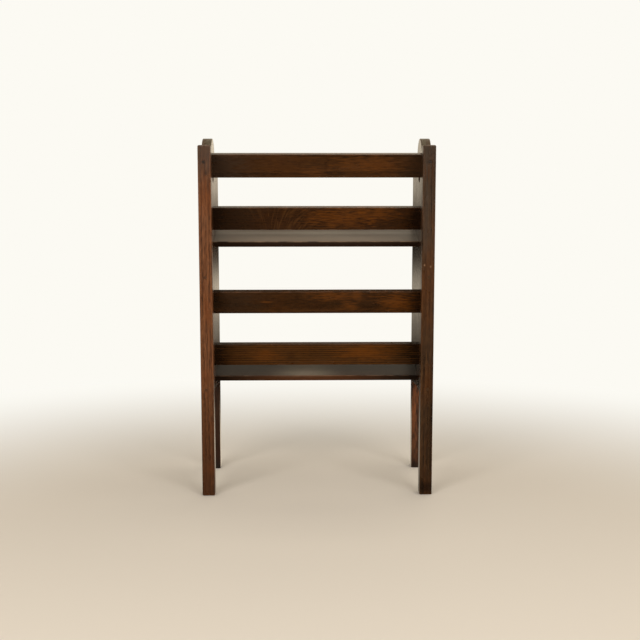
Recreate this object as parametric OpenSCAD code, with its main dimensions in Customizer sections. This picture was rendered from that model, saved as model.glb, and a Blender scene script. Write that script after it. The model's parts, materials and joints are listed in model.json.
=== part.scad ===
// Two-tier book trough in dark stained oak.
// Two shaped side panels carry a pair of V-shaped troughs, one above the other.
// Each trough is a tilted seat with two slats square to it as a back.
// Square posts stand in front of the panels' front edges, pinned through into them.
// X runs across, Y from the post faces to the rear edges, Z up from the floor.
// The origin lies on the floor at the middle of the outline.

/* [Overall] */
// Width over the two posts
overall_w = 457; // [400:1:600]
// Depth from the faces of the posts to the rear edges of the sides
overall_d = 229; // [222:1:260]

/* [Posts] */
// Width of a post, seen from the front
post_w = 25; // [22:1:30]
// Depth of a post, front to back
post_d = 25; // [20:1:32]
// Height of a post
post_h = 690; // [620:1:760]
// Radius of the eased long edges of a post
post_edge_r = 2; // [1:0.5:4]
// Radius of the rounded top and foot of a post
post_end_r = 3.5; // [2:0.5:6]

/* [Side panels] */
// Thickness of a side panel
side_t = 19; // [16:0.5:22]
// Set-back of a panel's outer face behind the post's outer face
side_setback = 1.5; // [0:0.5:3]
// Drop from the top of the post to the panel's front shoulder
front_drop = 8; // [4:1:14]
// Drop from the top of the post to the panel's rear shoulder
rear_drop = 40; // [30:1:46]
// Radius of the rear shoulder's corner
rear_corner_r = 12; // [6:1:24]

/* [Crest] */
// Height of the rounded crest above the top of the post
crest_rise = 16; // [10:1:26]
// Radius of the crest
crest_r = 42; // [36:1:48]
// Radius of the cove between the front shoulder and the crest
front_cove_r = 8; // [4:1:12]
// Radius of the cove between the crest and the rear shoulder
rear_cove_r = 20; // [12:1:24]

/* [Hand hold] */
// Width of the pierced hand hold
hold_w = 34; // [26:1:38]
// Height of the pierced hand hold
hold_h = 42; // [38:1:50]
// Wood left above the hand hold, up to the top of the crest
hold_cover = 45; // [34:1:52]
// Wood left between the back slats' plane and the hand hold, at its lower end
hold_margin = 7; // [5:1:12]

/* [Foot cut-out] */
// Depth of the rear leg, front to back
leg_d = 25; // [20:1:36]
// Wood left below the front edge of the lower seat, at the arch's crown
apron_h = 12; // [8:1:24]
// Rise of the shallow arch over the cut-out
arch_rise = 8; // [4:1:14]
// Radius at each end of the arch
arch_corner_r = 12; // [6:1:18]

/* [Troughs] */
// Tilt of the seats up towards the rear, and of the backs towards the front
tilt = 20; // [14:0.5:24]
// Distance between the two troughs, seat to seat
tier_pitch = 277.5; // [240:0.5:300]
// Length of the upper trough's back along its slope
upper_back_h = 185; // [150:1:194]
// Length of the lower trough's back along its slope
lower_back_h = 193; // [150:1:204]
// Wood left above the top slat, up to the front shoulder
top_margin = 5; // [4:1:12]
// Wood left behind a seat, up to the rear edge of the side
rear_margin = 6; // [4:1:12]

/* [Seats] */
// Width of a seat along its slope
seat_w = 112; // [96:1:118]
// Thickness of a seat
seat_t = 12; // [9:0.5:16]
// Depth of the housing that a seat's end sits in
housing_d = 6; // [4:0.5:9]

/* [Slats] */
// Width of a slat along the slope of the back
slat_w = 48; // [38:1:54]
// Thickness of a slat
slat_t = 12; // [9:0.5:15]
// Gap between a seat and the slat above it
slat_lift = 25.5; // [15:0.5:32]
// Length of the stub tenon at each end of a slat
tenon_l = 8; // [5:0.5:12]
// Shoulder on each face of the tenon
tenon_cheek = 2.5; // [1.5:0.5:3.5]
// Shoulder on each edge of the tenon
tenon_haunch = 5; // [3:0.5:10]
// Radius of the eased edges of seats and slats
board_edge_r = 1.5; // [0.5:0.5:3]

/* [Pins] */
// Diameter of the pins that hold a post to its panel
pin_d = 6; // [4:0.5:8]
// Length of a pin
pin_l = 44; // [36:1:48]
// Number of pins in each post
pin_count = 3; // [2:1:5]
// Distance of the topmost pin below the top of the post
pin_top = 32; // [24:1:60]
// Height of the lowest pin above the arch's crown
pin_low = 16; // [10:1:40]

/* [Fits] */
// Clearance all round a tenon, a seat's end and a pin
fit_gap = 0.1; // [0.05:0.05:0.2]
// Roundness of the curves
$fn = 96; // [48:8:160]

/* [Hidden] */

// Colours of the stained oak, by the way the boards are cut
OAK_POST = "#6a4128";
OAK_SIDE = "#5b3a26";
OAK_SLAT = "#44291a";
OAK_SEAT = "#4d3221";
OAK_PIN = "#2e1c12";

// Across the trough
side_outer_x = overall_w / 2 - side_setback;
side_inner_x = side_outer_x - side_t;

// Shoulders and crest of a side panel
front_shoulder_z = post_h - front_drop;
rear_shoulder_z = post_h - rear_drop;
crest_top_z = post_h + crest_rise;
crest_z = crest_top_z - crest_r;

// Corner of each trough, where the seat's top face meets the plane behind the slats
corner_y = overall_d - rear_margin - seat_t * sin(tilt) - (seat_w - slat_t) * cos(tilt);
upper_z = front_shoulder_z - top_margin - upper_back_h * cos(tilt);
lower_z = upper_z - tier_pitch;

// Hand hold and the crest over it, on one axis behind the plane of the slats
hold_top_z = crest_top_z - hold_cover;
hold_low_z = hold_top_z - hold_h;
crest_y = corner_y - (hold_low_z - upper_z) * tan(tilt) + hold_margin + hold_w / 2;

// Arch of the foot cut-out, between the post and the rear leg
arch_front_y = post_d;
arch_rear_y = overall_d - leg_d;
arch_mid_y = (arch_front_y + arch_rear_y) / 2;
arch_half = (arch_rear_y - arch_front_y) / 2;
arch_crown_z = lower_z - slat_t * sin(tilt) - seat_t * cos(tilt) - apron_h;
arch_r = (arch_half * arch_half + arch_rise * arch_rise) / (2 * arch_rise);
arch_corner_y = arch_half - arch_corner_r;
arch_depth = sqrt(pow(arch_r - arch_corner_r, 2) - pow(arch_corner_y, 2));
arch_corner_z = arch_crown_z - arch_r + arch_depth;

// Pins, evenly spaced from the lowest to the topmost
pin_first_z = arch_crown_z + pin_low;
pin_last_z = post_h - pin_top;
pin_heights = [for (i = [0 : pin_count - 1]) pin_first_z + i * (pin_last_z - pin_first_z) / (pin_count - 1)];

// How far a cut runs past a face
over = 1;
// Overlap of two curves that run into each other
blend = 0.005;

// Rectangle with four rounded corners
module rounded_rect(w, h, r) {
    translate([r, 0]) square([w - 2 * r, h]);
    translate([0, r]) square([w, h - 2 * r]);
    for (x = [r, w - r], y = [r, h - r]) translate([x, y]) circle(r);
}

// Extrudes an outline drawn in Y and Z along X
module along_x(x_from, x_to) {
    translate([x_from, 0, 0]) rotate([90, 0, 90]) linear_extrude(x_to - x_from) children();
}

// Extrudes an outline drawn in X and Z along Y
module along_y(y_from, y_to) {
    translate([0, y_to, 0]) rotate([90, 0, 0]) linear_extrude(y_to - y_from) children();
}

// Places the origin at the middle of the depth
module in_frame() {
    translate([0, -overall_d / 2, 0]) children();
}

// Turns an outline into a trough's own directions, along its seat and along its back
module in_trough(z) {
    translate([corner_y, z]) rotate(tilt) children();
}

// Section of a seat, or of its housing when grown by the clearance
module seat_section(grow = 0) {
    translate([-slat_t - grow, -seat_t - grow])
        rounded_rect(seat_w + 2 * grow, seat_t + 2 * grow, board_edge_r);
}

// Section of a slat that starts at a height along the back
module slat_section(from_h) {
    translate([-slat_t, from_h]) rounded_rect(slat_t, slat_w, board_edge_r);
}

// Section of a slat's tenon, or of its mortise when grown by the clearance
module tenon_section(from_h, grow = 0) {
    translate([tenon_cheek - slat_t - grow, from_h + tenon_haunch - grow])
        square([slat_t - 2 * tenon_cheek + 2 * grow, slat_w - 2 * tenon_haunch + 2 * grow]);
}

// Wood under a cove, which curves up from a shoulder into the crest, drawn from the crest's axis
module cove(side, r, shoulder_z) {
    rise = shoulder_z + r - crest_z - blend;
    reach = side * sqrt(pow(crest_r + r - blend, 2) - pow(rise, 2));
    foot = hold_low_z - crest_z;
    ends = side < 0 ? [[reach, rise], [0, 0]] : [[0, 0], [reach, rise]];
    difference() {
        polygon([ends[0], [ends[0][0], foot], [ends[1][0], foot], ends[1]]);
        translate([reach, rise]) circle(r);
    }
}

// Outline of a side panel before it is pierced and cut out
module side_blank() {
    rear_r = rear_corner_r;
    translate([post_d, 0]) square([overall_d - post_d - rear_r, rear_shoulder_z]);
    translate([post_d, 0]) square([overall_d - post_d, rear_shoulder_z - rear_r]);
    translate([overall_d - rear_r, rear_shoulder_z - rear_r]) circle(rear_r);
    translate([post_d, 0]) square([crest_y - post_d, front_shoulder_z]);
    translate([crest_y, crest_z]) {
        circle(crest_r);
        cove(-1, front_cove_r, front_shoulder_z);
        cove(1, rear_cove_r, rear_shoulder_z);
    }
}

// Cut-out between the post and the rear leg, under a shallow arch with rounded ends
module foot_cutout() {
    drop = arch_corner_z + over;
    reach = arch_corner_y * arch_r / (arch_r - arch_corner_r);
    translate([arch_mid_y, arch_corner_z]) {
        translate([-arch_half, -drop]) square([2 * arch_half, drop]);
        intersection() {
            translate([0, -arch_depth - blend]) circle(arch_r, $fn = 4 * $fn);
            translate([-reach, -over]) square([2 * reach, arch_rise + arch_corner_r + over]);
        }
        for (side = [-1, 1]) translate([side * arch_corner_y, 0]) circle(arch_corner_r);
    }
}

// Upright slot with round ends
module hand_hold() {
    r = hold_w / 2;
    translate([crest_y, hold_low_z + r]) {
        translate([-r, 0]) square([hold_w, hold_h - hold_w]);
        for (z = [0, hold_h - hold_w]) translate([0, z]) circle(r);
    }
}

// Right side panel, with its housings and mortises in the inner face
module side_panel() {
    difference() {
        along_x(side_inner_x, side_outer_x) difference() {
            side_blank();
            foot_cutout();
            hand_hold();
        }
        for (z = [upper_z, lower_z])
            along_x(side_inner_x - over, side_inner_x + housing_d + fit_gap)
                in_trough(z) seat_section(fit_gap);
        for (back = [[upper_z, upper_back_h], [lower_z, lower_back_h]])
            for (from_h = [slat_lift, back[1] - slat_w])
                along_x(side_inner_x - over, side_inner_x + tenon_l + fit_gap)
                    in_trough(back[0]) tenon_section(from_h, fit_gap);
        pin_rods(pin_d / 2 + fit_gap);
    }
}

// Right post, rounded at its top and foot, and bored for its pins
module post() {
    inner_x = overall_w / 2 - post_w;
    difference() {
        intersection() {
            translate([inner_x, 0, 0]) linear_extrude(post_h) rounded_rect(post_w, post_d, post_edge_r);
            along_x(inner_x, overall_w / 2) rounded_rect(post_d, post_h, post_end_r);
            along_y(0, post_d) translate([inner_x, 0]) rounded_rect(post_w, post_h, post_end_r);
        }
        pin_rods(pin_d / 2 + fit_gap, over);
    }
}

// Rods on the axes of the right-hand pins, from the face of the post inwards
module pin_rods(r, ahead = 0) {
    for (z = pin_heights)
        translate([(side_inner_x + side_outer_x) / 2, -ahead, z])
            rotate([-90, 0, 0]) cylinder(h = pin_l + ahead, r = r, $fn = 48);
}

// Slat with a stub tenon at each end, in the trough whose corner is at height z
module slat(z, from_h) {
    in_frame() {
        along_x(-side_inner_x, side_inner_x) in_trough(z) slat_section(from_h);
        for (x = [-side_inner_x - tenon_l, side_inner_x])
            along_x(x, x + tenon_l) in_trough(z) tenon_section(from_h);
    }
}

// Seat whose ends sit in the housings
module seat(z) {
    reach = side_inner_x + housing_d;
    in_frame() along_x(-reach, reach) in_trough(z) seat_section();
}

module right_side_panel() color(OAK_SIDE) in_frame() side_panel();
module left_side_panel() color(OAK_SIDE) mirror([1, 0, 0]) in_frame() side_panel();
module right_post() color(OAK_POST) in_frame() post();
module left_post() color(OAK_POST) mirror([1, 0, 0]) in_frame() post();
module upper_top_slat() color(OAK_SLAT) slat(upper_z, upper_back_h - slat_w);
module upper_bottom_slat() color(OAK_SLAT) slat(upper_z, slat_lift);
module lower_top_slat() color(OAK_SLAT) slat(lower_z, lower_back_h - slat_w);
module lower_bottom_slat() color(OAK_SLAT) slat(lower_z, slat_lift);
module upper_seat() color(OAK_SEAT) seat(upper_z);
module lower_seat() color(OAK_SEAT) seat(lower_z);
module post_pins() color(OAK_PIN) in_frame() {
    pin_rods(pin_d / 2);
    mirror([1, 0, 0]) pin_rods(pin_d / 2);
}

left_side_panel();
right_side_panel();
left_post();
right_post();
upper_top_slat();
upper_bottom_slat();
lower_top_slat();
lower_bottom_slat();
upper_seat();
lower_seat();
post_pins();
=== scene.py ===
"""Two-tier oak book trough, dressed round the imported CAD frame.

Units are metres, and millimetres where a name ends in mm or a value is multiplied by MM. X runs across the
trough, Y from the post faces to the rear edges, and Z up from the floor. Every board is oak that was fumed,
stained dark and lacquered, so one recipe makes all the finishes.
"""

import json
import logging
import math
from dataclasses import dataclass, field
from enum import Enum
from typing import ClassVar

import bpy
from mathutils import Euler, Matrix, Vector

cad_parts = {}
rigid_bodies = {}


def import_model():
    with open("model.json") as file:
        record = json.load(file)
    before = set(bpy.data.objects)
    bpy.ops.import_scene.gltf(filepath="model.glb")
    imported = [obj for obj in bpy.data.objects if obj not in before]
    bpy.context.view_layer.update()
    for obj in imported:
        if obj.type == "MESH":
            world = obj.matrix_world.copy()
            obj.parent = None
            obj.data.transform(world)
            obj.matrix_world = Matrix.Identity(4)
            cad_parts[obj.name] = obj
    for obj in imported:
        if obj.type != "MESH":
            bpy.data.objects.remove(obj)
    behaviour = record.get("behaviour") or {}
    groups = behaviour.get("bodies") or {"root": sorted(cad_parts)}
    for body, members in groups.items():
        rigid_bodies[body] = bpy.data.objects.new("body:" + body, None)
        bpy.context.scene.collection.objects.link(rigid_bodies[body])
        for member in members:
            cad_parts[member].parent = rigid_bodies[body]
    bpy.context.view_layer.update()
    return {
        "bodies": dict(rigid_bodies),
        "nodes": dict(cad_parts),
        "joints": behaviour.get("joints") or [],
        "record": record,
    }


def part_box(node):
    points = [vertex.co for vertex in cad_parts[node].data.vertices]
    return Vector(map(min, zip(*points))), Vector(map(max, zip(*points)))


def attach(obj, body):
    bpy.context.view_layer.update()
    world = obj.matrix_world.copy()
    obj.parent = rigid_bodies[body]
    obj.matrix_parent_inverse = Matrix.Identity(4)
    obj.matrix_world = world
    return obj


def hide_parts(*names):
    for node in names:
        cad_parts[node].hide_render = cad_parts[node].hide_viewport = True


MM = 0.001
IMAGE_SIDE = 640
# A colour mix has its two colours and its result at these sockets
MIX_A, MIX_B, MIX_RESULT = 6, 7, 2
# A reach that takes in the whole board
FAR = math.inf
# Lacquer, and wood under it
WOOD_IOR = 1.5
LOG = logging.getLogger("book_trough")


def linear(code: str) -> tuple[float, float, float, float]:
    """Turns an sRGB colour into the linear one that a shader takes.

    Args:
        code: the colour as hex digits, such as "#6a4128".

    Returns:
        Red, green, blue and an alpha of one.
    """
    parts = [int(code[i : i + 2], 16) / 255 for i in (1, 3, 5)]
    return (*(c / 12.92 if c <= 0.04045 else ((c + 0.055) / 1.055) ** 2.4 for c in parts), 1.0)


def put(
    tree: bpy.types.NodeTree,
    kind: str,
    values: dict | None = None,
    links: dict | None = None,
    **settings: object,
) -> bpy.types.Node:
    """Adds a node to a shader.

    Args:
        tree: the shader's node tree.
        kind: the node's type name.
        values: constants of the node's inputs, by name or number.
        links: outputs that feed the node's inputs, by name or number.
        **settings: the node's own properties.

    Returns:
        The new node.
    """
    made = tree.nodes.new(kind)
    for name, value in settings.items():
        setattr(made, name, value)
    for socket, value in (values or {}).items():
        made.inputs[socket].default_value = value
    for socket, output in (links or {}).items():
        tree.links.new(output, made.inputs[socket])
    return made


def reckon(
    tree: bpy.types.NodeTree, operation: str, *terms: bpy.types.NodeSocket | float
) -> bpy.types.NodeSocket:
    """Works out one sum in a shader.

    Args:
        tree: the shader's node tree.
        operation: the sum's name, such as "ADD".
        *terms: its terms in order, each an output or a number.

    Returns:
        Output with the answer.
    """
    made = put(tree, "ShaderNodeMath", operation=operation)
    for socket, term in zip(made.inputs, terms):
        if isinstance(term, bpy.types.NodeSocket):
            tree.links.new(term, socket)
        else:
            socket.default_value = term
    return made.outputs[0]


def blend(
    tree: bpy.types.NodeTree,
    share: bpy.types.NodeSocket,
    first: bpy.types.NodeSocket | str,
    second: bpy.types.NodeSocket | str,
) -> bpy.types.NodeSocket:
    """Mixes two colours in a shader.

    Args:
        tree: the shader's node tree.
        share: output that is 0 at the first colour and 1 at the second.
        first: an output, or a colour as hex digits.
        second: the same for the other colour.

    Returns:
        Output with the colour.
    """
    made = put(tree, "ShaderNodeMix", None, {0: share}, data_type="RGBA")
    for socket, colour in ((MIX_A, first), (MIX_B, second)):
        if isinstance(colour, str):
            made.inputs[socket].default_value = linear(colour)
        else:
            tree.links.new(colour, made.inputs[socket])
    return made.outputs[MIX_RESULT]


def blank(name: str) -> bpy.types.Material:
    """Makes a material with no nodes yet.

    Args:
        name: what it is called.

    Returns:
        The material.
    """
    material = bpy.data.materials.new(name)
    material.use_nodes = True
    material.node_tree.nodes.clear()
    return material


def pick(held: bpy.types.Object) -> None:
    """Makes an object the active one and the only one selected.

    Args:
        held: the object.
    """
    bpy.ops.object.select_all(action="DESELECT")
    bpy.context.view_layer.objects.active = held
    held.select_set(True)


class Run(Enum):
    """How a board lies in the frame: the turn from the frame's axes to its grain, width and thickness."""

    UPRIGHT = (0.0, -90.0, 0.0)
    SEAT = (20.0, 0.0, 0.0)
    SLAT = (110.0, 0.0, 0.0)

    @property
    def turn(self) -> tuple[float, float, float]:
        """The turn in radians, about X, Y and Z."""
        return tuple(math.radians(a) for a in self.value)


class Cut(Enum):
    """How a board was sawn: where the tree's heart lies from its middle, across and through, in mm."""

    QUARTERED = (-140.0, 12.0)
    RIFT = (-70.0, -60.0)
    PLAIN = (6.0, -75.0)


@dataclass(frozen=True)
class OakFinish:
    """White oak, fumed and stained dark, with its pores left open under a thin satin lacquer.

    The stain gives a deep brown that goes orange where it lies thin, the grain gives paler streaks, the
    open pores give short dark dashes, and the lacquer gives a soft shine that breaks up over the pores.
    """

    name: str
    dark: str
    light: str
    warm: str
    pore: str = "#0d0704"
    pore_share: float = 0.8
    worn: str = "#7d5236"
    worn_share: float = 0.5
    fleck: str = "#70461f"
    fleck_share: float = 0.0
    warm_share: float = 0.3
    ring_mm: float = 3.4
    ring_depth: float = 0.35
    ring_bend: float = 6.0
    streak_mm: float = 3.0
    streak_length_mm: float = 20.0
    streak_depth: float = 1.2
    fibre_mm: float = 1.4
    fibre_length_mm: float = 16.0
    fibre_depth: float = 0.9
    patch_mm: float = 45.0
    patch_length_mm: float = 144.0
    patch_depth: float = 0.4
    pore_width_mm: float = 0.6
    pore_length_mm: float = 12.0
    roughness: float = 0.24


@dataclass(frozen=True)
class Shade:
    """A place where the stain lies thin or thick, in millimetres from the board's middle.

    Middle and reach go along, across and through the board. A frayed shade has edges that wander along the
    grain, and one that isn't stays exactly where it is.
    """

    colour: str
    share: float
    middle: tuple[float, float, float]
    reach: tuple[float, float, float]
    frayed: bool = True


class OakShader:
    """The nodes of one board's oak, laid along its grain.

    A level is a value of a pattern. Patterns lie about 0.5, and most of each lies between 0.3 and 0.7.
    """

    # How far along the tree each board's place lies from the last one's, in metres
    next_place: float = 0.37
    # The wave texture's rings lie this far apart at a scale of one
    wave_length: float = math.pi / 10
    # How fast the rings wander along the grain, against how fast they do across it
    ring_wander: float = 0.06
    # How far the rings' phase moves on from one board to the next
    next_phase: float = 2.1
    glow_mm: float = 28.0
    glow_levels: tuple[float, float] = (0.48, 0.68)
    # The glow comes from another place in the noise than the other patterns do
    glow_shift: tuple[float, float, float] = (3.1, 1.7, 0.4)
    # How wide the clouds of the glow, and of the stray below, are against their length
    glow_slim: float = 0.35
    stray_slim: float = 0.4
    # A ray fleck's width and length. Real ones are as long but half as wide
    fleck_mm: tuple[float, float] = (4.0, 30.0)
    # The flecks stand upright at this place along the board, and lean by one in one this much further on
    fleck_upright_mm: float = -96.0
    fleck_lean_mm: float = 74.0
    # Where the board was sawn truest to the rays, and how far that reaches
    fleck_middle_mm: float = -68.0
    fleck_reach_mm: float = 85.0
    # The flecks are whole up to this share of that reach, and fade to this share of their strength
    fleck_whole: float = 0.4
    fleck_least: float = 0.35
    fleck_full: float = 0.16
    # How far a frayed shade strays along, across and through the board
    stray_mm: tuple[float, float, float] = (42.0, 14.0, 5.0)
    stray_size_mm: float = 16.0
    fray: float = 2.4
    # An arris is rubbed where the streaks pass the first level, and in full this much above it
    rub_from: float = 0.4
    rub_full: float = 0.2
    # Pores lie closer in the wood of spring, where each ring starts
    pore_thinning: float = 0.1
    pore_levels: tuple[float, float] = (0.55, 0.63)
    # How far the fibre stands up and the pores sink in, against the height of the bump
    fibre_height: float = 0.4
    pore_drop: float = 1.25
    bump_mm: float = 0.1
    bump_share: float = 0.3
    # How far the slow patches move the lacquer's roughness, down and up
    gloss_swing: tuple[float, float] = (-0.04, 0.05)
    # How much duller the lacquer is on a sawn edge
    sawn_dulling: float = 0.25

    def __init__(self, board: "Board") -> None:
        """Starts the shader and lays its coordinates along, across and through the board.

        Args:
            board: the board that it is for.
        """
        self.board = board
        self.oak = board.finish
        self.material = blank(f"{self.oak.name}_{board.node}")
        self.tree = self.material.node_tree
        place = put(self.tree, "ShaderNodeTexCoord").outputs["Object"]
        self.laid = put(
            self.tree,
            "ShaderNodeMapping",
            {"Location": board.middle(), "Rotation": board.run.turn},
            {"Vector": place},
            vector_type="TEXTURE",
        ).outputs[0]
        # Each board comes from its own place in the tree
        self.moved = put(
            self.tree,
            "ShaderNodeMapping",
            {"Location": (self.next_place * board.seed, 0.0, 0.0)},
            {"Vector": self.laid},
        ).outputs[0]
        self.wood: bpy.types.NodeSocket | None = None

    def build(self) -> bpy.types.Material:
        """Makes the whole finish, from the bare wood to the lacquer.

        Returns:
            The material.
        """
        oak = self.oak
        rings = self.rings()
        patch = self.drawn(oak.patch_mm, oak.patch_length_mm, 3.0)
        streak = self.drawn(oak.streak_mm, oak.streak_length_mm, 3.0)
        # Real fibre and pores are a third as wide as these, too fine to show from two metres off
        fibre = self.drawn(oak.fibre_mm, oak.fibre_length_mm, 2.0)
        pore = self.drawn(oak.pore_width_mm, oak.pore_length_mm, 1.0)
        self.timber(
            (
                (rings, oak.ring_depth),
                (patch, oak.patch_depth),
                (streak, oak.streak_depth),
                (fibre, oak.fibre_depth),
            )
        )
        self.glow()
        if oak.fleck_share:
            self.flecks()
        self.shades(streak)
        self.rub(streak)
        self.lacquer(self.pores(rings, pore), fibre, patch)
        return self.material

    def rings(self) -> bpy.types.NodeSocket:
        """Makes growth rings about the heart of the tree, drawn out along the grain.

        Returns:
            Output that rises through each ring from 0 to 1.
        """
        across, through = self.board.cut.value
        heart = put(
            self.tree,
            "ShaderNodeMapping",
            {"Location": (0.0, -across * MM, -through * MM), "Scale": (self.ring_wander, 1.0, 1.0)},
            {"Vector": self.moved},
        ).outputs[0]
        return put(
            self.tree,
            "ShaderNodeTexWave",
            {
                "Scale": self.wave_length / (self.oak.ring_mm * MM),
                "Distortion": self.oak.ring_bend,
                "Detail": 3.0,
                "Detail Scale": 0.35,
                "Detail Roughness": 0.6,
                "Phase Offset": self.next_phase * self.board.seed,
            },
            {"Vector": heart},
            wave_type="RINGS",
            rings_direction="X",
            wave_profile="SAW",
        ).outputs["Fac"]

    def drawn(self, width_mm: float, length_mm: float, detail: float) -> bpy.types.NodeSocket:
        """Makes a cloudy pattern that is drawn out along the grain.

        Args:
            width_mm: how wide its clouds are.
            length_mm: how long they are.
            detail: how many finer layers it has.

        Returns:
            Output about 0.5.
        """
        stretched = put(
            self.tree,
            "ShaderNodeMapping",
            {"Scale": (width_mm / length_mm, 1.0, 1.0)},
            {"Vector": self.moved},
        ).outputs[0]
        return put(
            self.tree,
            "ShaderNodeTexNoise",
            {"Scale": 1 / (width_mm * MM), "Detail": detail, "Roughness": 0.55},
            {"Vector": stretched},
        ).outputs["Fac"]

    def timber(self, layers: tuple[tuple[bpy.types.NodeSocket, float], ...]) -> None:
        """Colours the wood between its dark and light tones.

        Args:
            layers: patterns about 0.5, each with the share by which it lightens or darkens the wood.
        """
        share: bpy.types.NodeSocket | float = 0.5
        for pattern, depth in layers:
            rest = reckon(self.tree, "SUBTRACT", share, 0.5 * depth)
            share = reckon(self.tree, "MULTIPLY_ADD", pattern, depth, rest)
        bounded = put(self.tree, "ShaderNodeClamp", None, {0: share}).outputs[0]
        self.wood = blend(self.tree, bounded, self.oak.dark, self.oak.light)

    def stain(
        self,
        pattern: bpy.types.NodeSocket,
        none: float,
        full: float,
        share: float,
        colour: str,
        fall: str = "LINEAR",
    ) -> bpy.types.NodeSocket:
        """Turns the wood towards a colour where a pattern is strong.

        Args:
            pattern: output that says where.
            none: its value where the colour doesn't show.
            full: its value where the colour shows in full.
            share: how far the wood turns there.
            colour: the colour's hex digits.
            fall: how the colour falls off, a name of the map range node.

        Returns:
            Output that says how far the wood has turned at each place.
        """
        turned = put(
            self.tree,
            "ShaderNodeMapRange",
            {"From Min": none, "From Max": full, "To Max": share},
            {"Value": pattern},
            interpolation_type=fall,
        ).outputs[0]
        self.wood = blend(self.tree, turned, self.wood, colour)
        return turned

    def glow(self) -> None:
        """Adds the orange patches where the stain lies thin."""
        eased = put(
            self.tree,
            "ShaderNodeMapping",
            {"Location": self.glow_shift, "Scale": (self.glow_slim, 1.0, 1.0)},
            {"Vector": self.moved},
        ).outputs[0]
        clouds = put(
            self.tree,
            "ShaderNodeTexNoise",
            {"Scale": 1 / (self.glow_mm * MM), "Detail": 2.0, "Roughness": 0.5, "Distortion": 0.4},
            {"Vector": eased},
        ).outputs["Fac"]
        self.stain(clouds, *self.glow_levels, self.oak.warm_share, self.oak.warm)

    def flecks(self) -> None:
        """Adds ray flecks, thin plates across the rings that show as slanting bars on a quartered face."""
        parts = put(self.tree, "ShaderNodeSeparateXYZ", None, {0: self.laid}).outputs
        lean_mm = self.fleck_lean_mm
        lean = reckon(
            self.tree, "MULTIPLY_ADD", parts["X"], 1 / (lean_mm * MM), -self.fleck_upright_mm / lean_mm
        )
        slid = reckon(self.tree, "MULTIPLY", parts["Y"], lean)
        upright = reckon(self.tree, "SUBTRACT", parts["X"], slid)
        bars = put(
            self.tree, "ShaderNodeCombineXYZ", None, {0: upright, 1: parts["Y"], 2: parts["Z"]}
        ).outputs[0]
        width_mm, length_mm = self.fleck_mm
        scaled = put(
            self.tree,
            "ShaderNodeMapping",
            {"Scale": [1 / (size * MM) for size in (width_mm, length_mm, length_mm)]},
            {"Vector": bars},
        ).outputs[0]
        plates = put(
            self.tree,
            "ShaderNodeTexNoise",
            {"Scale": 1.0, "Detail": 2.0, "Roughness": 0.5, "Distortion": 0.5},
            {"Vector": scaled},
        ).outputs["Fac"]
        truest = put(
            self.tree,
            "ShaderNodeMapping",
            {
                "Location": (-self.fleck_middle_mm / self.fleck_reach_mm, 0.0, 0.0),
                "Scale": (1 / (self.fleck_reach_mm * MM), 0.0, 0.0),
            },
            {"Vector": self.laid},
        ).outputs[0]
        astray = put(
            self.tree, "ShaderNodeVectorMath", None, {0: truest}, operation="LENGTH"
        ).outputs["Value"]
        showing = put(
            self.tree,
            "ShaderNodeMapRange",
            {"From Min": self.fleck_whole, "From Max": 1.0, "To Min": 1.0, "To Max": self.fleck_least},
            {"Value": astray},
            interpolation_type="SMOOTHSTEP",
        ).outputs[0]
        above = reckon(self.tree, "SUBTRACT", plates, 0.5)
        strong = reckon(self.tree, "MULTIPLY", above, showing)
        self.stain(strong, 0.0, self.fleck_full, self.oak.fleck_share, self.oak.fleck)

    def shades(self, streak: bpy.types.NodeSocket) -> None:
        """Adds the places where the stain lies thin or thick, and small marks.

        Args:
            streak: output of the streaks, which fray the edges.
        """
        eased = put(
            self.tree, "ShaderNodeMapping", {"Scale": (self.stray_slim, 1.0, 1.0)}, {"Vector": self.moved}
        ).outputs[0]
        wander = put(
            self.tree,
            "ShaderNodeTexNoise",
            {"Scale": 1 / (self.stray_size_mm * MM), "Detail": 2.0, "Roughness": 0.6},
            {"Vector": eased},
        ).outputs["Color"]
        # The noise is about 0.5, so a shade moves by half of this, which is taken off again below
        span = Vector(self.stray_mm)
        strayed = put(
            self.tree,
            "ShaderNodeVectorMath",
            {1: span * MM},
            {0: wander, 2: self.laid},
            operation="MULTIPLY_ADD",
        ).outputs[0]
        fray = reckon(self.tree, "MULTIPLY_ADD", streak, -self.fray, self.fray / 2)
        for shade in self.board.shades:
            scale = [1 / (reach * MM) for reach in shade.reach]
            shift = span / 2 if shade.frayed else Vector()
            centred = put(
                self.tree,
                "ShaderNodeMapping",
                {
                    "Location": [-(m + d) * MM * k for m, d, k in zip(shade.middle, shift, scale)],
                    "Scale": scale,
                },
                {"Vector": strayed if shade.frayed else self.laid},
            ).outputs[0]
            away = put(
                self.tree, "ShaderNodeVectorMath", None, {0: centred}, operation="LENGTH"
            ).outputs["Value"]
            if shade.frayed:
                away = reckon(self.tree, "ADD", away, fray)
            self.stain(away, 1.0, 0.0, shade.share, shade.colour, "SMOOTHSTEP")

    def rub(self, streak: bpy.types.NodeSocket) -> None:
        """Rubs the arrises back to paler wood, more in some places than in others.

        Args:
            streak: output of the streaks.
        """
        arris = put(self.tree, "ShaderNodeAttribute", attribute_name="arris").outputs["Fac"]
        high = reckon(self.tree, "SUBTRACT", streak, self.rub_from)
        rubbed = reckon(self.tree, "MULTIPLY", arris, high)
        self.stain(rubbed, 0.0, self.rub_full, self.oak.worn_share, self.oak.worn)

    def pores(self, rings: bpy.types.NodeSocket, pore: bpy.types.NodeSocket) -> bpy.types.NodeSocket:
        """Adds open pores, full of stain and thickest in the wood of spring.

        Args:
            rings: output of the growth rings.
            pore: output of the pores' pattern.

        Returns:
            Output that says how deep a pore is at each place.
        """
        gated = reckon(self.tree, "MULTIPLY_ADD", rings, -self.pore_thinning, pore)
        return self.stain(gated, *self.pore_levels, self.oak.pore_share, self.oak.pore)

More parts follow.
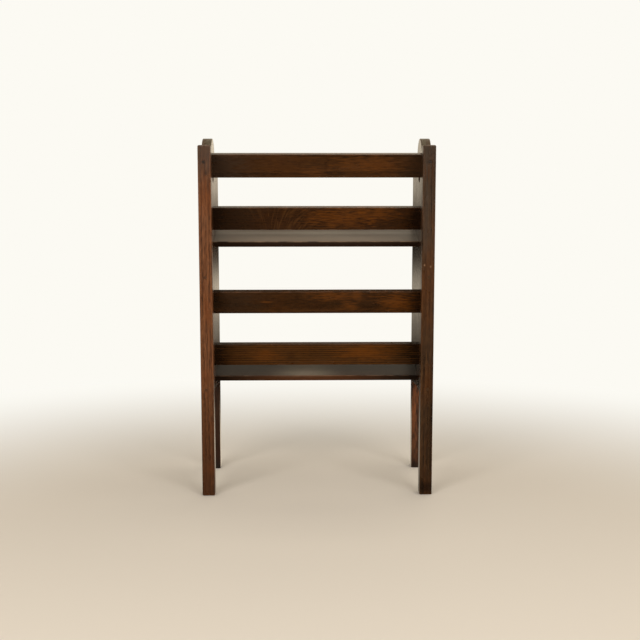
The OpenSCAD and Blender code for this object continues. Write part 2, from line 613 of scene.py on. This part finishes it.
    def lacquer(
        self,
        pores: bpy.types.NodeSocket,
        fibre: bpy.types.NodeSocket,
        patch: bpy.types.NodeSocket,
    ) -> None:
        """Lays the lacquer, which sinks into the pores and over the fibre and is duller in some patches.

        Args:
            pores: output of the pores' depth.
            fibre: output of the fibre.
            patch: output of the slow patches.
        """
        ribs = reckon(self.tree, "MULTIPLY", fibre, self.fibre_height)
        height = reckon(self.tree, "MULTIPLY_ADD", pores, -self.pore_drop, ribs)
        bump = put(
            self.tree,
            "ShaderNodeBump",
            {"Strength": self.bump_share, "Distance": self.bump_mm * MM},
            {"Height": height},
        ).outputs[0]
        glossy, dull = (self.oak.roughness + swing for swing in self.gloss_swing)
        gloss = put(
            self.tree,
            "ShaderNodeMapRange",
            {"From Min": 0.3, "From Max": 0.7, "To Min": glossy, "To Max": dull},
            {"Value": patch},
        ).outputs[0]
        # Sawn edges drink the lacquer and stay duller than the flats
        sawn = put(self.tree, "ShaderNodeAttribute", attribute_name="sawn").outputs["Fac"]
        gloss = reckon(self.tree, "MULTIPLY_ADD", sawn, self.sawn_dulling, gloss)
        surface = put(
            self.tree,
            "ShaderNodeBsdfPrincipled",
            {"IOR": WOOD_IOR},
            {"Base Color": self.wood, "Roughness": gloss, "Normal": bump},
        ).outputs[0]
        put(self.tree, "ShaderNodeOutputMaterial", None, {"Surface": surface})


@dataclass
class Board:
    """One board of the trough: a merged copy of its CAD node, with its own cut of oak."""

    node: str
    slot: str
    finish: OakFinish
    run: Run
    cut: Cut
    seed: int
    shades: tuple[Shade, ...] = ()

    # Points of the CAD mesh closer than this are one, and faces closer to level than this are one face
    merge_mm: ClassVar[float] = 0.02
    level_deg: ClassVar[float] = 0.5
    # Faces that meet at less than this are shaded as one round
    round_deg: ClassVar[float] = 40.0
    # The cosine by which a face has to miss the board's sides to count as fully round
    round_full: ClassVar[float] = 0.2

    @property
    def piece(self) -> str:
        """The name of the piece that stands for the CAD node."""
        return f"{self.node}_oak"

    def middle(self) -> Vector:
        """The middle of the board, in metres."""
        low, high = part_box(self.node)
        return (low + high) / 2

    def build(self, frame: dict) -> bpy.types.Object:
        """Makes the board, dresses it and hangs it on the frame.


        Returns:
            The finished board.
        """
        board = self.copy_node(frame)
        self.ease(board)
        self.mark_faces(board)
        board.data.materials.append(OakShader(self).build())
        pick(board)
        bpy.ops.object.shade_smooth_by_angle(angle=math.radians(self.round_deg))
        # The wide faces keep their own normals, so they don't shine as if they were hollow or round
        weighted = board.modifiers.new("flat_faces", "WEIGHTED_NORMAL")
        weighted.keep_sharp = True
        bpy.ops.object.modifier_apply(modifier=weighted.name)
        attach(board, "root")
        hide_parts(self.node)
        LOG.info("%s: %d faces", self.piece, len(board.data.polygons))
        return board

    def copy_node(self, frame: dict) -> bpy.types.Object:
        """Copies the CAD node and merges its loose triangles into flat faces.


        Returns:
            The copy, at the origin, with its place in its mesh.
        """
        mesh = frame["nodes"][self.node].data.copy()
        mesh.name = self.piece
        mesh.materials.clear()
        board = bpy.data.objects.new(self.piece, mesh)
        bpy.context.scene.collection.objects.link(board)
        pick(board)
        bpy.ops.object.mode_set(mode="EDIT")
        bpy.ops.mesh.select_all(action="SELECT")
        bpy.ops.mesh.remove_doubles(threshold=self.merge_mm * MM)
        bpy.ops.mesh.dissolve_limited(angle_limit=math.radians(self.level_deg))
        bpy.ops.mesh.select_all(action="DESELECT")
        bpy.ops.object.mode_set(mode="OBJECT")
        return board

    def ease(self, board: bpy.types.Object) -> None:
        """Leaves the edges as the CAD node has them."""

    def roundness(self, normal: Vector) -> float:
        """Tells how far a face is turned between two sides of the board.

        Args:
            normal: the face's normal.

        Returns:
            0 on a side of the board, up to 1 on a round.
        """
        sides = Euler(self.run.turn).to_matrix()
        nearest = max(abs(side.dot(normal)) for side in sides.col)
        return min(1.0, (1.0 - nearest) / self.round_full)

    def sawn(self, normal: Vector) -> float:
        """Tells whether a face was left from the saw, which is none on a planed board."""
        return 0.0

    def mark_faces(self, board: bpy.types.Object) -> None:
        """Marks the rounded edges, where hands and cloths have thinned the stain, and the sawn ones.

        Args:
            board: the eased board.
        """
        marks = board.data.attributes.new("arris", "FLOAT", "FACE")
        cuts = board.data.attributes.new("sawn", "FLOAT", "FACE")
        for face, mark, cut in zip(board.data.polygons, marks.data, cuts.data):
            mark.value = self.roundness(face.normal)
            cut.value = self.sawn(face.normal)


@dataclass
class ShapedSide(Board):
    """A side panel, whose crest, hand hold, arch and rear edges are eased by hand."""

    ease_mm: float = 0.0

    ease_steps: ClassVar[int] = 3
    # A face is flat, or an edge runs right through, from this share up
    nearly: ClassVar[float] = 0.99
    # How near a point lies to the joint with the post to be on it
    on_joint_mm: ClassVar[float] = 0.01

    def roundness(self, normal: Vector) -> float:
        """Tells how far a face is turned between the panel's flat and its sawn edge, from 0 to 1."""
        nearest = max(abs(normal.x), math.hypot(normal.y, normal.z))
        return min(1.0, (1.0 - nearest) / self.round_full)

    def sawn(self, normal: Vector) -> float:
        """Tells that every face but the panel's two flats was sawn to the outline."""
        return float(abs(normal.x) < self.nearly)

    def ease(self, board: bpy.types.Object) -> None:
        """Rounds the edges of every sawn face that runs right through, but not the joint with the post.

        Args:
            board: the copy of the panel.
        """
        low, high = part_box(self.node)
        thick = high.x - low.x
        mesh = board.data
        by_edge: dict[tuple[int, int], list[bpy.types.MeshPolygon]] = {}
        for face in mesh.polygons:
            for key in face.edge_keys:
                by_edge.setdefault(key, []).append(face)
        post_joint = low.y + self.on_joint_mm * MM
        for edge in mesh.edges:
            faces = by_edge.get(edge.key, [])
            if len(faces) != 2:
                continue
            flat = [abs(f.normal.x) > self.nearly for f in faces]
            if flat[0] == flat[1]:
                continue
            sawn = faces[1] if flat[0] else faces[0]
            spots = [mesh.vertices[i].co for i in sawn.vertices]
            span = max(p.x for p in spots) - min(p.x for p in spots)
            at_post = all(p.y < post_joint for p in spots)
            edge.select = span > self.nearly * thick and not at_post
        pick(board)
        # In vertex mode the edges across the thickness would be taken too
        bpy.context.tool_settings.mesh_select_mode = (False, True, False)
        bpy.ops.object.mode_set(mode="EDIT")
        bpy.ops.mesh.bevel(
            offset=self.ease_mm * MM, segments=self.ease_steps, affect="EDGES", clamp_overlap=False
        )
        bpy.ops.mesh.select_all(action="DESELECT")
        bpy.ops.object.mode_set(mode="OBJECT")


@dataclass
class Sides:
    """The two shaped side panels, with dust and a painted sheen on the crest and inner face, darker at the
    feet, and painted warm light on the right rear leg.
    """

    oak: OakFinish = OakFinish("fumed_oak_side", "#22130a", "#553620", "#5a3015", roughness=0.17)
    dust_and_sheen: str = "#635c4d"
    foot_dark: str = "#1d1712"
    foot_dark_mm: float = 26.0
    ease_mm: float = 1.2

    def boards(self) -> list[Board]:
        """Lists the two panels.

        Returns:
            The left panel and the right one.
        """
        # Dust and a painted sheen lie on the sawn crest and the inner face, which is at -9.5 on the left
        # and 9.5 on the right
        left_dust_and_sheen, right_dust_and_sheen = (
            Shade(self.dust_and_sheen, 0.95, (350, 0, inside), (60, FAR, 20)) for inside in (-5, 5)
        )
        # The feet are darker up from the floor
        feet = Shade(self.foot_dark, 0.85, (-353, 0, 0), (self.foot_dark_mm, FAR, FAR), False)
        return [
            ShapedSide(
                "left_side_panel", "side_oak", self.oak, Run.UPRIGHT, Cut.QUARTERED, 1,
                (left_dust_and_sheen, Shade("#2c1204", 0.8, (-353, 0, 0), (260, FAR, FAR)), feet),
                self.ease_mm,
            ),
            ShapedSide(
                "right_side_panel", "side_oak", self.oak, Run.UPRIGHT, Cut.QUARTERED, 2,
                (
                    right_dust_and_sheen,
                    # Painted warm light on the inner side of the rear leg, strongest at mid-height and
                    # dimmer lower down
                    Shade("#8b4e24", 0.75, (-220, 74, 10), (165, 46, 18)),
                    Shade("#5e3a22", 0.7, (-310, 85, 10), (80, 60, 18)),
                    Shade("#21150c", 0.8, (-260, 0, 11), (FAR, FAR, 4.5), False),
                    feet,
                ),
                self.ease_mm,
            ),
        ]


@dataclass
class Posts:
    """The two front posts, warm on the left, darker on the right, greyer at the top and darker towards the
    foot.
    """

    left_oak: OakFinish = OakFinish(
        "fumed_oak_post", "#331a0c", "#855534", "#77401a", warm_share=0.45, worn_share=0.25,
        pore_share=0.55, ring_mm=5.4, ring_depth=0.35, streak_mm=2.7, streak_length_mm=60.0,
        streak_depth=1.5, fibre_depth=1.4, roughness=0.27,
    )
    right_oak: OakFinish = OakFinish(
        "fumed_oak_post", "#1d1109", "#543a22", "#5c3310", warm_share=0.4,
        worn="#8a5a38", worn_share=0.4, pore_share=0.55, ring_mm=5.8, ring_depth=0.4,
        streak_mm=3.0, streak_length_mm=70.0, streak_depth=1.5, fibre_depth=1.4, roughness=0.27,
    )
    grey: str = "#3a3028"
    smudge: str = "#1d150e"
    nick: str = "#a88468"

    def boards(self) -> list[Board]:
        """Lists the two posts.

        Returns:
            The left post and the right one.
        """
        return [
            Board("left_post", "post_oak", self.left_oak, Run.UPRIGHT, Cut.RIFT, 3, (
                Shade("#1c0f06", 0.55, (-345, 0, 0), (280, FAR, FAR)),
                Shade(self.grey, 0.75, (345, 0, 0), (100, FAR, FAR)),
                Shade(self.smudge, 0.7, (292, 3, -2), (9, FAR, 5), False),
                Shade(self.smudge, 0.5, (312, 3, 0), (7, FAR, 5), False),
                Shade(self.smudge, 0.4, (268, 3, -6), (16, FAR, 4), False),
            )),
            Board("right_post", "post_oak", self.right_oak, Run.UPRIGHT, Cut.RIFT, 4, (
                Shade("#1c0f06", 0.2, (-345, 0, 0), (200, FAR, FAR)),
                Shade("#352c23", 0.75, (345, 0, 0), (150, FAR, FAR)),
                Shade("#473a2f", 0.6, (215, 0, 5), (120, FAR, 12)),
                Shade("#140b06", 0.4, (-190, 0, -9), (190, FAR, 10)),
                Shade(self.smudge, 0.6, (313, 3, 2), (8, FAR, 4), False),
                Shade(self.nick, 0.75, (114.5, -12, 7.5), (3.2, FAR, 2.2), False),
                Shade(self.nick, 0.55, (111.5, -12, -4.5), (3.2, FAR, 2.0), False),
                Shade("#140b06", 0.7, (-330, 0, 0), (22, FAR, FAR), False),
            )),
        ]


@dataclass
class Tiers:
    """The two tiers, each a seat and two slats, with the stain in patches as the maker's rag left it, and
    painted shade towards the boards' ends and on the lower slats' top edges.
    """

    slat_oak: OakFinish = OakFinish(
        "fumed_oak_slat", "#201308", "#503012", "#5c3006", warm_share=0.15,
        pore_share=0.5, streak_depth=0.75, fibre_depth=0.7,
    )
    figured_oak: OakFinish = OakFinish(
        "figured_oak_slat", "#201308", "#4a2b11", "#5c3006", warm_share=0.15,
        fleck="#5f3c1a", fleck_share=0.42, pore_share=0.5, streak_depth=0.75, fibre_depth=0.7,
    )
    striped_oak: OakFinish = OakFinish(
        "striped_oak_slat", "#2d1a0b", "#5c3914", "#5c3006", warm_share=0.15, worn_share=0.15,
        ring_mm=3.7, ring_depth=0.8, ring_bend=1.5, streak_depth=0.5, streak_length_mm=60.0,
        pore_share=0.6, fibre_depth=0.6,
    )
    # The seats' pale front arrises are worn wood with a painted highlight on them, and the lower seat's oak
    # is the upper one's painted darker as shade
    upper_seat_oak: OakFinish = OakFinish(
        "fumed_oak_seat", "#2c1c13", "#5c4230", "#5a3518", warm_share=0.1, patch_depth=0.3,
        pore_share=0.25, streak_depth=0.7, fibre_depth=0.5, worn="#a08468", worn_share=0.85, roughness=0.33,
    )
    lower_seat_shaded_oak: OakFinish = OakFinish(
        "fumed_oak_seat", "#170e08", "#332214", "#4f2c14", warm_share=0.1, patch_depth=0.3,
        pore_share=0.35, streak_depth=0.7, fibre_depth=0.5, worn="#80644b", worn_share=0.6, roughness=0.33,
    )
    # Dark of the painted shade at the boards' ends and on the lower slats' top edges, and of dark marks in
    # the wood
    dark: str = "#140b05"
    warm: str = "#733f0a"
    dust_and_sheen: str = "#8c8272"
    pale_painted_sheen: str = "#c4beb2"
    # Half the length of a slat or seat between the panels
    half_mm: float = 209.0

    def shaded_ends(self, reach_mm: float, share: float) -> tuple[Shade, Shade]:
        """Painted shade at both ends of a board, where the posts and panels shadow it.

        Args:
            reach_mm: how far in from the panel they go.
            share: how dark they are.

        Returns:
            The left end and the right end.
        """
        return tuple(
            Shade(self.dark, share, (side * self.half_mm, 0, 0), (reach_mm, FAR, FAR)) for side in (-1, 1)
        )

    def slats(self) -> list[Board]:
        """Lists the slats.

        Returns:
            The slats, from the top down.
        """
        dark, warm = self.dark, self.warm
        return [
            Board("upper_top_slat", "slat_oak", self.slat_oak, Run.SLAT, Cut.PLAIN, 5, (
                # Painted shade at both ends and towards the left one, where the posts shadow the slat
                *self.shaded_ends(20, 0.4),
                Shade("#3a2d23", 0.6, (-190, 0, 0), (80, FAR, FAR)),
                Shade(warm, 0.25, (-8, -12, 0), (36, 14, FAR)),
                Shade(warm, 0.35, (110, 4, 0), (110, 24, FAR)),
                # Painted shade towards the right end
                Shade("#3b2c20", 0.4, (200, 0, 0), (60, FAR, FAR)),
                Shade(dark, 0.35, (17, 8, 0), (9, 20, FAR)),
            )),
            Board("upper_bottom_slat", "slat_oak", self.figured_oak, Run.SLAT, Cut.QUARTERED, 6, (
                # Painted shade at both ends, where the posts shadow the slat
                *self.shaded_ends(34, 0.8),
                Shade(warm, 0.5, (45, 4, 0), (90, 34, FAR)),
                Shade(warm, 0.5, (120, 12, 0), (70, 26, FAR)),
                # Painted shade towards the left end
                Shade("#2a1d12", 0.6, (-165, 0, 0), (75, FAR, FAR)),
            )),
            Board("lower_top_slat", "slat_oak", self.slat_oak, Run.SLAT, Cut.PLAIN, 7, (
                # Painted shade at both ends and towards the left one, where the posts shadow the slat
                *self.shaded_ends(24, 0.7),
                Shade("#35281c", 0.5, (-160, 0, 0), (70, FAR, FAR)),
                Shade(warm, 0.4, (-98, 2, 0), (12, 6, FAR)),
                Shade(warm, 0.5, (45, 14, 0), (80, 16, FAR)),
                Shade(warm, 0.45, (65, -8, 0), (30, 12, FAR)),
                Shade(warm, 0.6, (160, 0, 0), (56, 30, FAR)),
                Shade(dark, 0.5, (105, -10, 0), (34, 9, FAR)),
                Shade(dark, 0.4, (2, -10, 0), (50, 10, FAR)),
                # Painted shade along the top edge, under the upper tier
                Shade(dark, 0.2, (0, 24, 0), (FAR, 2, FAR), False),
            )),
            Board("lower_bottom_slat", "slat_oak", self.striped_oak, Run.SLAT, Cut.RIFT, 8, (
                # Painted shade at both ends, where the posts shadow the slat
                *self.shaded_ends(44, 0.8),
                Shade(warm, 0.45, (-105, 4, 0), (45, 30, FAR)),
                Shade(warm, 0.6, (100, 8, 0), (85, 30, FAR)),
                Shade(dark, 0.25, (-50, -8, 0), (22, 22, FAR)),
                # Painted shade along the top edge, under the upper tier
                Shade(dark, 0.4, (0, 24, 0), (FAR, 2, FAR), False),
            )),
        ]

    def seats(self) -> list[Board]:
        """Lists the seats, with dust and a painted sheen on their upper faces, and painted shade at their
        ends.

        Returns:
            The upper seat and the lower one.
        """
        return [
            Board("upper_seat", "seat_oak", self.upper_seat_oak, Run.SEAT, Cut.PLAIN, 9, (
                # Painted shade at both ends, and dust with a painted sheen on the upper face, palest along
                # the foot of the slat
                *self.shaded_ends(26, 0.7),
                Shade(self.dust_and_sheen, 0.4, (0, -38, 6), (420, 95, 7), False),
                Shade(self.pale_painted_sheen, 0.4, (0, -10, 6), (345, 14, 7), False),
                Shade("#27160a", 0.9, (0, -56.5, 0), (FAR, 4.2, FAR), False),
            )),
            Board("lower_seat", "seat_oak", self.lower_seat_shaded_oak, Run.SEAT, Cut.PLAIN, 10, (
                # Painted shade at both ends, and dust with a painted sheen on the upper face
                *self.shaded_ends(30, 0.7),
                Shade(self.dust_and_sheen, 0.58, (-22, -38, 6), (90, 95, 7), False),
                Shade("#5f3618", 0.8, (-10, -56.5, 0), (230, 4.2, FAR), False),
            )),
        ]

    def boards(self) -> list[Board]:
        """Lists the slats and then the seats."""
        return self.slats() + self.seats()


@dataclass
class PinHeads:
    """The pins' heads: oak end grain, which drinks stain and lacquer.

    A head shows as a round of even brown with dark specks, a little duller than its post.
    """

    left: str = "#5a371f"
    right: str = "#4c3219"
    top: str = "#2a1c12"
    specks: str = "#2b1b10"
    # The height from which a pin is one of the two top ones, in metres
    top_from: float = 0.6
    # The cut ends of the pores, drawn twice as coarse as real ones
    speck_mm: float = 0.8
    # A speck starts and is whole at these levels of its pattern, and darkens the head by this share
    speck_levels: tuple[float, float] = (0.35, 0.65)
    speck_share: float = 0.5
    roughness: float = 0.32

    def dress(self, frame: dict) -> None:
        """Gives the CAD pins their end grain.
        """
        node = frame["nodes"]["post_pins"]
        material = blank("stained_oak_end_grain")
        tree = material.node_tree
        place = put(tree, "ShaderNodeTexCoord").outputs["Object"]
        specks = put(
            tree,
            "ShaderNodeTexNoise",
            {"Scale": 1 / (self.speck_mm * MM), "Detail": 2.0},
            {"Vector": place},
        ).outputs["Fac"]
        parts = put(tree, "ShaderNodeSeparateXYZ", None, {0: place}).outputs
        at_right = reckon(tree, "GREATER_THAN", parts["X"], 0.0)
        at_top = reckon(tree, "GREATER_THAN", parts["Z"], self.top_from)
        head = blend(tree, at_top, blend(tree, at_right, self.left, self.right), self.top)
        starts, whole = self.speck_levels
        drunk = put(
            tree,
            "ShaderNodeMapRange",
            {"From Min": starts, "From Max": whole, "To Max": self.speck_share},
            {"Value": specks},
        ).outputs[0]
        surface = put(
            tree,
            "ShaderNodeBsdfPrincipled",
            {"Roughness": self.roughness, "IOR": WOOD_IOR},
            {"Base Color": blend(tree, drunk, head, self.specks)},
        ).outputs[0]
        put(tree, "ShaderNodeOutputMaterial", None, {"Surface": surface})
        node.data.materials.clear()
        node.data.materials.append(material)
        LOG.info("post_pins: end grain")


@dataclass(frozen=True)
class Bands:
    """Bands of light on the wall behind, between two heights as sines of the angle above the horizon."""

    low: float
    high: float
    tint: str
    steps: tuple[tuple[float, float], ...]

    def fill(self, ramp: bpy.types.ColorRamp) -> None:
        """Fills a colour ramp with the bands.

        Args:
            ramp: a new ramp with its two elements.
        """
        colour = linear(self.tint)
        stops = [
            ((height - self.low) / (self.high - self.low), (*(level * part for part in colour[:3]), 1.0))
            for height, level in self.steps
        ]
        ramp.elements.remove(ramp.elements[1])
        ramp.elements[0].position, ramp.elements[0].color = stops[0]
        for step, shade in stops[1:]:
            ramp.elements.new(step).color = shade


@dataclass(frozen=True)
class Lamp:
    """A soft square light: its place in metres and its power in watts."""

    name: str
    spot: tuple[float, float, float]
    watts: float


@dataclass
class Studio:
    """A plain pale floor, soft light from both sides, a pale room and the photograph's camera."""

    # What the panels' inner faces mirror, from the foot of the wall up
    low_bands: Bands = Bands(-0.34, 0.06, "#ffeed3", (
        # The foot of the wall, bright behind the legs
        (-0.34, 0.1), (-0.28, 0.5), (-0.262, 0.9), (-0.25, 1.0), (-0.231, 1.0), (-0.218, 0.75),
        (-0.208, 0.25),
        # The shadow of the lower trough
        (-0.199, 0.0), (-0.156, 0.0),
        # The wall between the troughs, brightest above the lower one
        (-0.147, 0.19), (-0.1435, 0.22), (-0.132, 0.27), (-0.1235, 0.44), (-0.109, 0.70), (-0.097, 0.68),
        (-0.0855, 0.36), (-0.078, 0.14), (-0.071, 0.03),
        # The shadow of the upper trough
        (-0.062, 0.0), (-0.036, 0.0),
        # The wall above it, brightest level with the crests
        (-0.026, 0.30), (-0.019, 0.44), (-0.012, 0.50), (-0.009, 0.66), (0.0, 0.60), (0.006, 0.64),
        (0.018, 1.0), (0.045, 1.0), (0.06, 0.64),
    ))
    # What the slats' upper edges and the seats mirror
    high_bands: Bands = Bands(0.5, 0.9, "#ffffff", (
        (0.5, 0.38), (0.56, 0.38), (0.61, 1.0), (0.682, 1.0), (0.7, 0.04), (0.82, 0.04), (0.9, 0.27),
    ))
    pale: str = "#fcfaf3"
    paper: str = "#e4e2df"
    # The floor is paper about this point, and runs off into the pale room between these distances from it
    paper_middle: tuple[float, float, float] = (0.0, -0.6, 0.0)
    paper_ends: tuple[float, float] = (0.65, 1.8)
    floor_side: float = 80.0
    lamps: tuple[Lamp, ...] = (
        Lamp("soft_left", (-1.5, -2.8, 1.9), 51.0),
        Lamp("soft_right", (1.5, -2.8, 1.9), 45.0),
    )
    lamp_side: float = 1.6
    lamp_tint: str = "#fff4e6"
    lamp_aim: Vector = field(default_factory=lambda: Vector((0.0, 0.0, 0.35)))
    # The room is brightest this way, and goes from dark to bright between these shares of it
    bright_way: tuple[float, float, float] = (0.0, 1.0, 0.6)
    dark_share: float = -0.75
    bright_share: float = 0.45
    # How strong the room's light is at each end of that, and on the left and the right of the wall
    room_light: tuple[float, float] = (0.03, 1.1)
    wall_light: tuple[float, float] = (1.9, 3.3)
    wall_half: float = 0.2
    # The camera: its place in metres, its focal length in pixels, and its turns in radians
    eye: Vector = field(default_factory=lambda: Vector((-0.0286, -2.1692, 0.6233)))
    lens_px: float = 1062.2
    sensor_mm: float = 36.0
    tilt_down: float = 0.130893
    yaw: float = 0.016594
    roll: float = 0.000563
    clip_m: tuple[float, float] = (0.05, 100.0)

    def floor(self) -> None:
        """Lays the floor, matt paper that runs off into the pale room."""
        bpy.ops.object.select_all(action="DESELECT")
        bpy.ops.mesh.primitive_plane_add(size=self.floor_side)
        floor = bpy.context.object
        floor.name = "studio_floor"
        material = blank("pale_studio_floor")
        tree = material.node_tree
        paper = put(
            tree, "ShaderNodeBsdfPrincipled", {"Base Color": linear(self.paper), "Roughness": 0.8}
        ).outputs[0]
        glow = put(
            tree, "ShaderNodeEmission", {"Color": linear(self.pale), "Strength": 1.0}
        ).outputs[0]
        place = put(tree, "ShaderNodeTexCoord").outputs["Object"]
        away = put(
            tree, "ShaderNodeVectorMath", {1: self.paper_middle}, {0: place}, operation="DISTANCE"
        ).outputs["Value"]
        near, far = self.paper_ends
        lit = put(
            tree,
            "ShaderNodeMapRange",
            {"From Min": near, "From Max": far},
            {"Value": away},
            interpolation_type="SMOOTHSTEP",
        ).outputs[0]
        both = put(tree, "ShaderNodeMixShader", None, {0: lit, 1: paper, 2: glow}).outputs[0]
        put(tree, "ShaderNodeOutputMaterial", None, {"Surface": both})
        floor.data.materials.append(material)
        # The wood mirrors the bands of the room in its place
        floor.visible_glossy = False

    def lights(self) -> None:
        """Hangs a large soft light on each side and sets the pale surroundings."""
        for lamp in self.lamps:
            light = bpy.data.lights.new(lamp.name, "AREA")
            light.energy = lamp.watts
            light.size = self.lamp_side
            light.color = linear(self.lamp_tint)[:3]
            held = bpy.data.objects.new(lamp.name, light)
            held.location = lamp.spot
            way = self.lamp_aim - Vector(lamp.spot)
            held.rotation_euler = way.to_track_quat("-Z", "Y").to_euler()
            bpy.context.scene.collection.objects.link(held)
        self.surroundings()

    def surroundings(self) -> None:
        """Sets a pale room that is bright behind and above and dark in front, as the photograph's is."""
        world = bpy.data.worlds.new("pale_studio")
        world.use_nodes = True
        tree = world.node_tree
        tree.nodes.clear()
        way = put(tree, "ShaderNodeTexCoord").outputs["Generated"]
        rise = put(
            tree,
            "ShaderNodeVectorMath",
            {1: self.bright_way},
            {0: way},
            operation="DOT_PRODUCT",
        ).outputs["Value"]
        dark, bright = self.room_light
        shade = put(
            tree,
            "ShaderNodeMapRange",
            {"From Min": self.dark_share, "From Max": self.bright_share, "To Min": dark, "To Max": bright},
            {"Value": rise},
            interpolation_type="SMOOTHSTEP",
        ).outputs[0]
        # Smooth wood seen along its face mirrors bands of light and shadow on the wall behind
        parts = put(tree, "ShaderNodeSeparateXYZ", None, {0: way}).outputs
        stacks = []
        for stack in (self.low_bands, self.high_bands):
            part = put(
                tree,
                "ShaderNodeMapRange",
                {"From Min": stack.low, "From Max": stack.high},
                {"Value": parts["Z"]},
            ).outputs[0]
            banded = put(tree, "ShaderNodeValToRGB", None, {0: part})
            stack.fill(banded.color_ramp)
            stacks.append(banded.outputs[0])
        bands = put(
            tree,
            "ShaderNodeMix",
            {0: 1.0},
            {MIX_A: stacks[0], MIX_B: stacks[1]},
            data_type="RGBA",
            blend_type="MULTIPLY",
        ).outputs[MIX_RESULT]
        left, right = self.wall_light
        slope = put(
            tree,
            "ShaderNodeMapRange",
            {"From Min": -self.wall_half, "From Max": self.wall_half, "To Min": left, "To Max": right},
            {"Value": parts["X"]},
        ).outputs[0]
        strength = reckon(tree, "MULTIPLY", shade, slope)
        lit = put(tree, "ShaderNodeBackground", None, {"Color": bands, "Strength": strength}).outputs[0]
        seen = put(
            tree, "ShaderNodeBackground", {"Color": linear(self.pale), "Strength": 1.0}
        ).outputs[0]
        path = put(tree, "ShaderNodeLightPath").outputs["Is Camera Ray"]
        both = put(tree, "ShaderNodeMixShader", None, {0: path, 1: lit, 2: seen}).outputs[0]
        put(tree, "ShaderNodeOutputWorld", None, {"Surface": both})
        bpy.context.scene.world = world

    def camera(self) -> None:
        """Sets the camera where the photograph was taken from."""
        lens = bpy.data.cameras.new("photograph_view")
        lens.sensor_width = self.sensor_mm
        lens.lens = self.lens_px * self.sensor_mm / IMAGE_SIDE
        lens.clip_start, lens.clip_end = self.clip_m
        camera = bpy.data.objects.new("photograph_view", lens)
        sy, cy = math.sin(self.yaw), math.cos(self.yaw)
        sp, cp = math.sin(self.tilt_down), math.cos(self.tilt_down)
        right, up = Vector((cy, -sy, 0)), Vector((sp * sy, sp * cy, cp))
        sr, cr = math.sin(self.roll), math.cos(self.roll)
        right, up = cr * right - sr * up, sr * right + cr * up
        turn = Matrix((right, up, right.cross(up))).transposed()
        camera.matrix_world = Matrix.Translation(self.eye) @ turn.to_4x4()
        bpy.context.scene.collection.objects.link(camera)
        bpy.context.scene.camera = camera


def main() -> None:
    """Builds the trough round the frame and sets the studio."""
    logging.basicConfig(level=logging.INFO, format="%(message)s")
    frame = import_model()
    studio = Studio()
    studio.camera()
    for part in (Sides(), Posts(), Tiers()):
        for board in part.boards():
            board.build(frame)
    PinHeads().dress(frame)
    studio.floor()
    studio.lights()
    bpy.context.scene.view_settings.view_transform = "Standard"


if __name__ == "__main__":
    main()
